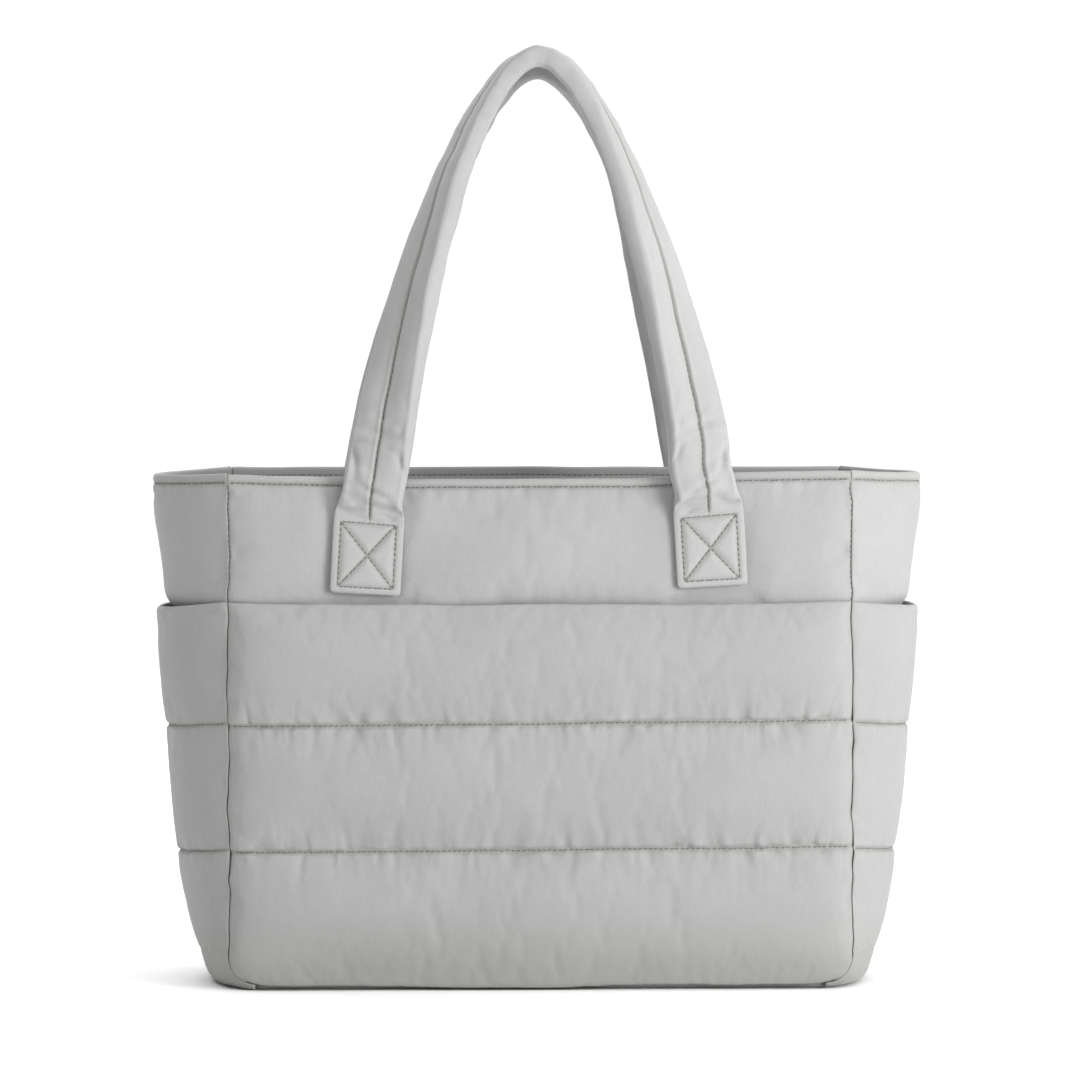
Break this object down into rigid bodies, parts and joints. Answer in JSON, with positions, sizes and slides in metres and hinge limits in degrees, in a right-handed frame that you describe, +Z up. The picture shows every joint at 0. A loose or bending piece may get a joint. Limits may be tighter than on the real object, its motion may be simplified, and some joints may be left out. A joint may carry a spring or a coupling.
{
  "type": "puffer tote bag",
  "caption": "Light grey padded tote bag that stands on a flat base, with quilted channels, a front slip pocket, a slip pocket on each gusset and padded handles.",
  "frame": {"origin": "middle of the base's underside, on the surface that the bag stands on", "axes": "+Z up, +X to the right seen from the front, and the front faces -Y"},
  "size_m": [0.4384, 0.1428, 0.5324],
  "materials": {
    "shell_cloth": "soft matt woven nylon, lightly wrinkled over padding",
    "pocket_cloth": "soft matt woven nylon, quilted in wide channels",
    "strap_cloth": "soft matt woven nylon over a padded strap",
    "thread": "polyester sewing thread, a little darker than the cloth"
  },
  "bodies": {
    "root": {"front_panel": "shell_cloth", "back_panel": "shell_cloth", "base_panel": "shell_cloth", "gusset_left": "shell_cloth", "gusset_right": "shell_cloth", "front_pocket": "pocket_cloth", "side_pocket_left": "pocket_cloth", "side_pocket_right": "pocket_cloth", "handle_front": "strap_cloth", "handle_back": "strap_cloth"}
  },
  "joints": []
}
